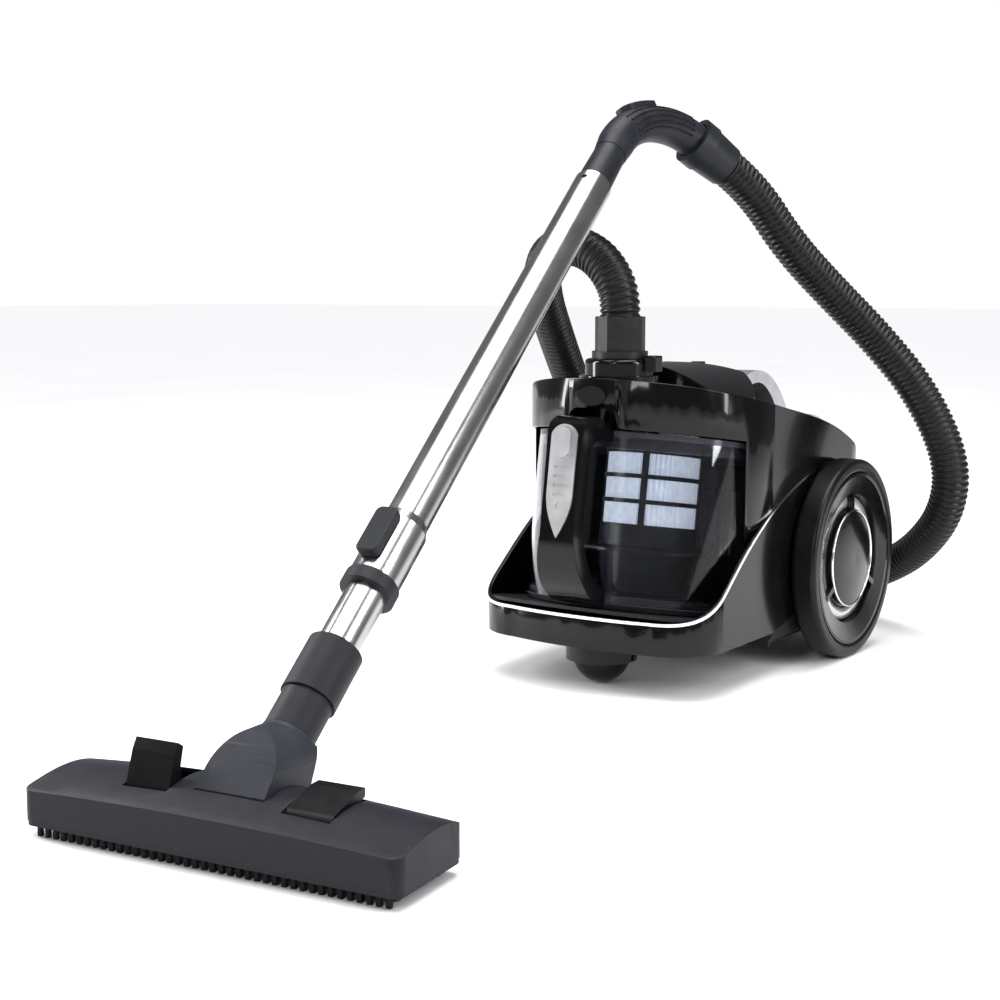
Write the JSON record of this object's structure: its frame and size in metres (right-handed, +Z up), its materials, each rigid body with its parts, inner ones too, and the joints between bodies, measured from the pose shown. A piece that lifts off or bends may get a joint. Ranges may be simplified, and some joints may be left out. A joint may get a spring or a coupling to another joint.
{
  "type": "canister vacuum cleaner",
  "caption": "Bagless canister vacuum cleaner with clear dust cup, big side wheels, ribbed hose, bent handle, telescopic steel wand and a wide floor head.",
  "frame": {"origin": "on the floor, below the middle of the box around everything except the free hose", "axes": "+Z up, -Y the way the canister faces and the floor head lies, +X the canister's left"},
  "size_m": [0.4189, 1.0342, 0.5204],
  "materials": {
    "shell_black": "gloss",
    "cover_black": "gloss",
    "deck_black": "gloss",
    "trim_silver": "polished",
    "under_black": "satin",
    "screw_steel": "plain",
    "handle_silver": "gloss",
    "pedal_clear": "gloss",
    "filter_foam": "open cell",
    "gland_rubber": "matt",
    "motor_metal": "satin",
    "impeller_metal": "plain",
    "board": "satin",
    "tyre": "satin",
    "rim": "gloss",
    "ball_black": "gloss",
    "cup_clear": "clear smoke",
    "cup_dark": "gloss",
    "cage_dark": "satin",
    "filter_paper": "pleated",
    "handle_black": "gloss",
    "inset_silver": "metallic",
    "hose_black": "ribbed",
    "grip_grey": "fine grain",
    "connector_black": "satin",
    "tube_steel": "satin",
    "head_grey": "fine grain",
    "elbow_grey": "fine grain",
    "bristle": "tufts",
    "roller": "satin"
  },
  "bodies": {
    "canister": {"base_shell": "shell_black", "silver_trim": "trim_silver", "belly_pan": "under_black", "belly_screws": "screw_steel", "cup_tray": "under_black", "bulkhead": "cover_black", "top_cover": "cover_black", "deck_panel": "deck_black", "badge_lens": "deck_black", "carry_handle": "handle_silver", "inlet_collar": "deck_black", "exhaust_grille": "under_black", "exhaust_filter": "filter_foam", "cord_gland": "gland_rubber", "motor_can": "motor_metal", "reel_axle": "screw_steel", "circuit_board": "board", "wheel_axles": "screw_steel", "hose": "hose_black"},
    "left_wheel": {"tyre_left": "tyre", "rim_left": "rim"},
    "right_wheel": {"tyre_right": "tyre", "rim_right": "rim"},
    "caster": {"caster_fork": "under_black"},
    "ball": {"caster_ball": "ball_black"},
    "dust_cup": {"cup_wall": "cup_clear", "cup_floor": "cup_dark", "cup_lid": "cup_dark", "filter_cage": "cage_dark", "filter_pleats": "filter_paper", "cyclone_cone": "cage_dark", "cup_handle": "handle_black", "handle_inset": "inset_silver"},
    "cup_release": {"cup_button": "inset_silver"},
    "switch_pedal": {"power_pedal": "pedal_clear"},
    "cord_pedal": {"rewind_pedal": "pedal_clear"},
    "deck_release": {"deck_button": "deck_black"},
    "inlet_latch": {"collar_latch": "deck_black"},
    "inlet_swivel": {"hose_connector": "connector_black"},
    "rotor": {"motor_rotor": "screw_steel", "impeller": "impeller_metal"},
    "reel": {"cord_reel": "under_black"},
    "handle": {"upper_tube": "tube_steel", "tube_ring": "grip_grey", "handle_grip": "grip_grey"},
    "air_slider": {"bleed_slider": "grip_grey"},
    "tube_lock": {"slide_button": "grip_grey"},
    "cuff": {"hose_cuff": "grip_grey"},
    "inner_wand": {"lower_tube": "tube_steel", "neck": "head_grey"},
    "head_elbow": {"elbow": "elbow_grey"},
    "floor_head": {"head_cover": "head_grey", "sole_plate": "head_grey", "roller_pins": "screw_steel"},
    "brush": {"brush_strip": "head_grey", "brush_tufts": "bristle"},
    "left_rocker": {"head_pedal_left": "elbow_grey"},
    "right_rocker": {"head_pedal_right": "elbow_grey"},
    "back_rollers": {"rollers_rear": "roller"},
    "nose_rollers": {"rollers_front": "roller"}
  },
  "joints": [
    {"name": "left_wheel_spin", "type": "hinge", "parent": "canister", "child": "left_wheel", "pos_m": [-0.0249, 0.3473, 0.095], "axis": [1, 0, 0], "continuous": true},
    {"name": "right_wheel_spin", "type": "hinge", "parent": "canister", "child": "right_wheel", "pos_m": [-0.0249, 0.3473, 0.095], "axis": [1, 0, 0], "continuous": true},
    {"name": "caster_swivel", "type": "hinge", "parent": "canister", "child": "caster", "pos_m": [-0.0249, 0.1213, 0.026], "axis": [0, 0, 1], "continuous": true},
    {"name": "caster_roll", "type": "hinge", "parent": "caster", "child": "ball", "pos_m": [-0.0249, 0.1213, 0.026], "axis": [1, 0, 0], "continuous": true},
    {"name": "dust_cup_slide", "type": "slide", "parent": "canister", "child": "dust_cup", "axis": [0, -0.9877, 0.1564], "range_m": [0, 0.12]},
    {"name": "cup_button_press", "type": "slide", "parent": "dust_cup", "child": "cup_release", "axis": [0, 0.9877, -0.1564], "range_m": [0, 0.003], "stiffness_N_per_m": 600, "springref_m": -0.001},
    {"name": "power_press", "type": "slide", "parent": "canister", "child": "switch_pedal", "axis": [0, 0, -1], "range_m": [0, 0.005], "stiffness_N_per_m": 1500, "springref_m": -0.002},
    {"name": "rewind_press", "type": "slide", "parent": "canister", "child": "cord_pedal", "axis": [0, 0, -1], "range_m": [0, 0.005], "stiffness_N_per_m": 1500, "springref_m": -0.002},
    {"name": "deck_button_press", "type": "slide", "parent": "canister", "child": "deck_release", "axis": [0, 0, -1], "range_m": [0, 0.0025], "stiffness_N_per_m": 800, "springref_m": -0.002},
    {"name": "latch_press", "type": "slide", "parent": "canister", "child": "inlet_latch", "axis": [-1, 0, 0], "range_m": [0, 0.002], "stiffness_N_per_m": 600, "springref_m": -0.001},
    {"name": "connector_swivel", "type": "hinge", "parent": "canister", "child": "inlet_swivel", "pos_m": [-0.0249, 0.1483, 0.3], "axis": [0, 0, 1], "continuous": true},
    {"name": "motor_spin", "type": "hinge", "parent": "canister", "child": "rotor", "pos_m": [-0.0249, 0.3813, 0.096], "axis": [1, 0, 0], "continuous": true},
    {"name": "cord_reel_spin", "type": "hinge", "parent": "canister", "child": "reel", "pos_m": [-0.0249, 0.3813, 0.096], "axis": [1, 0, 0], "continuous": true},
    {"name": "handle_reach", "type": "slide", "parent": "canister", "child": "handle", "axis": [-0.0946, 0.7703, 0.6307], "range_m": [-0.045, 0.2], "deforming": ["hose"]},
    {"name": "bleed_slide", "type": "hinge", "parent": "handle", "child": "air_slider", "pos_m": [0.00104, 0.21093, 0.42077], "axis": [-0.8872, 0.2221, -0.4043], "range_deg": [-4, 4]},
    {"name": "tube_lock_press", "type": "slide", "parent": "handle", "child": "tube_lock", "axis": [0.0946, -0.7703, -0.6307], "range_m": [0, 0.006], "stiffness_N_per_m": 500, "springref_m": -0.002},
    {"name": "cuff_swivel", "type": "hinge", "parent": "handle", "child": "cuff", "pos_m": [-0.01371, 0.26724, 0.48407], "axis": [0.4282, 0.7225, -0.5428], "continuous": true},
    {"name": "wand_telescope", "type": "slide", "parent": "handle", "child": "inner_wand", "axis": [-0.0946, 0.7703, 0.6307], "range_m": [-0.2, 0.045]},
    {"name": "neck_swivel", "type": "hinge", "parent": "inner_wand", "child": "head_elbow", "pos_m": [0.0286, -0.3812, 0.035], "axis": [-0.0946, 0.7703, 0.6307], "range_deg": [-60, 60]},
    {"name": "head_tilt", "type": "hinge", "parent": "head_elbow", "child": "floor_head", "pos_m": [0.0286, -0.3812, 0.035], "axis": [0.9925, 0.1219, 0], "range_deg": [-44, 22]},
    {"name": "left_pedal_rock", "type": "hinge", "parent": "floor_head", "child": "left_rocker", "pos_m": [-0.02902, -0.41246, 0.034], "axis": [0.9925, 0.1219, 0], "range_deg": [-55, 0]},
    {"name": "right_pedal_rock", "type": "hinge", "parent": "floor_head", "child": "right_rocker", "pos_m": [0.09207, -0.39759, 0.034], "axis": [0.9925, 0.1219, 0], "range_deg": [0, 55]},
    {"name": "brush_lift", "type": "slide", "parent": "floor_head", "child": "brush", "axis": [0, 0, 1], "range_m": [0, 0.0061]},
    {"name": "rear_roller_spin", "type": "hinge", "parent": "floor_head", "child": "back_rollers", "pos_m": [0.02211, -0.3694, 0.008], "axis": [0.9925, 0.1219, 0], "continuous": true},
    {"name": "front_roller_spin", "type": "hinge", "parent": "floor_head", "child": "nose_rollers", "pos_m": [0.02754, -0.41357, 0.008], "axis": [0.9925, 0.1219, 0], "continuous": true}
  ],
  "couplings": [
    {"joint": "wand_telescope", "follows": "handle_reach", "ratio": -1},
    {"joint": "right_pedal_rock", "follows": "left_pedal_rock", "ratio": -1},
    {"joint": "brush_lift", "follows": "left_pedal_rock", "m_per_rad": -0.00625}
  ]
}
